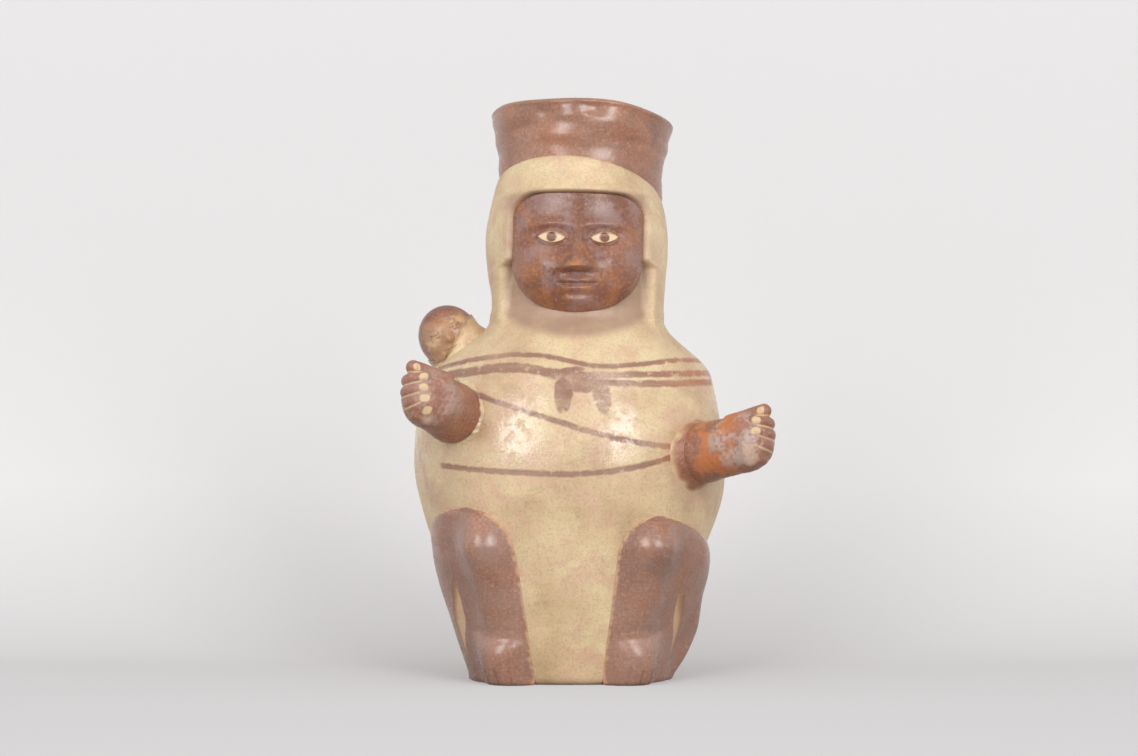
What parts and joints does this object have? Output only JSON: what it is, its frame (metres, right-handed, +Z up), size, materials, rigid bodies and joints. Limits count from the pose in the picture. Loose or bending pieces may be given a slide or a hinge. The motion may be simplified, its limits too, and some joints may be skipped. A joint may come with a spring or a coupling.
{
  "type": "figural vessel",
  "caption": "Hollow fired-clay jar in the form of a seated, hooded figure carrying a child on the shoulder, with a flaring collar above the head as its mouth.",
  "frame": {"origin": "centre of the flat base, on the body's upright centre line", "axes": "+Z up along the body towards the collar, -Y the way the figure faces, +X to the figure's left"},
  "size_m": [0.1823, 0.1603, 0.2827],
  "materials": {
    "cream_slip": "burnished cream slip with painted brown lines",
    "red_slip": "burnished red-brown slip",
    "dark_slip": "burnished dark brown slip, worn",
    "bare_clay": "unslipped fired clay"
  },
  "bodies": {
    "root": {"body_front": "cream_slip", "body_back": "cream_slip", "neck_core": "cream_slip", "hood_front": "cream_slip", "hood_back": "cream_slip", "right_arm_lute": "cream_slip", "left_arm_lute": "cream_slip", "baby_wrap": "cream_slip", "right_forearm": "red_slip", "left_forearm": "red_slip", "spout_collar": "red_slip", "right_leg": "red_slip", "left_leg": "red_slip", "face_panel": "dark_slip", "baby_head": "dark_slip", "base_slab": "bare_clay", "base_coil": "bare_clay", "neck_coil": "bare_clay", "seam_coil_right": "bare_clay", "seam_coil_left": "bare_clay"}
  },
  "joints": []
}
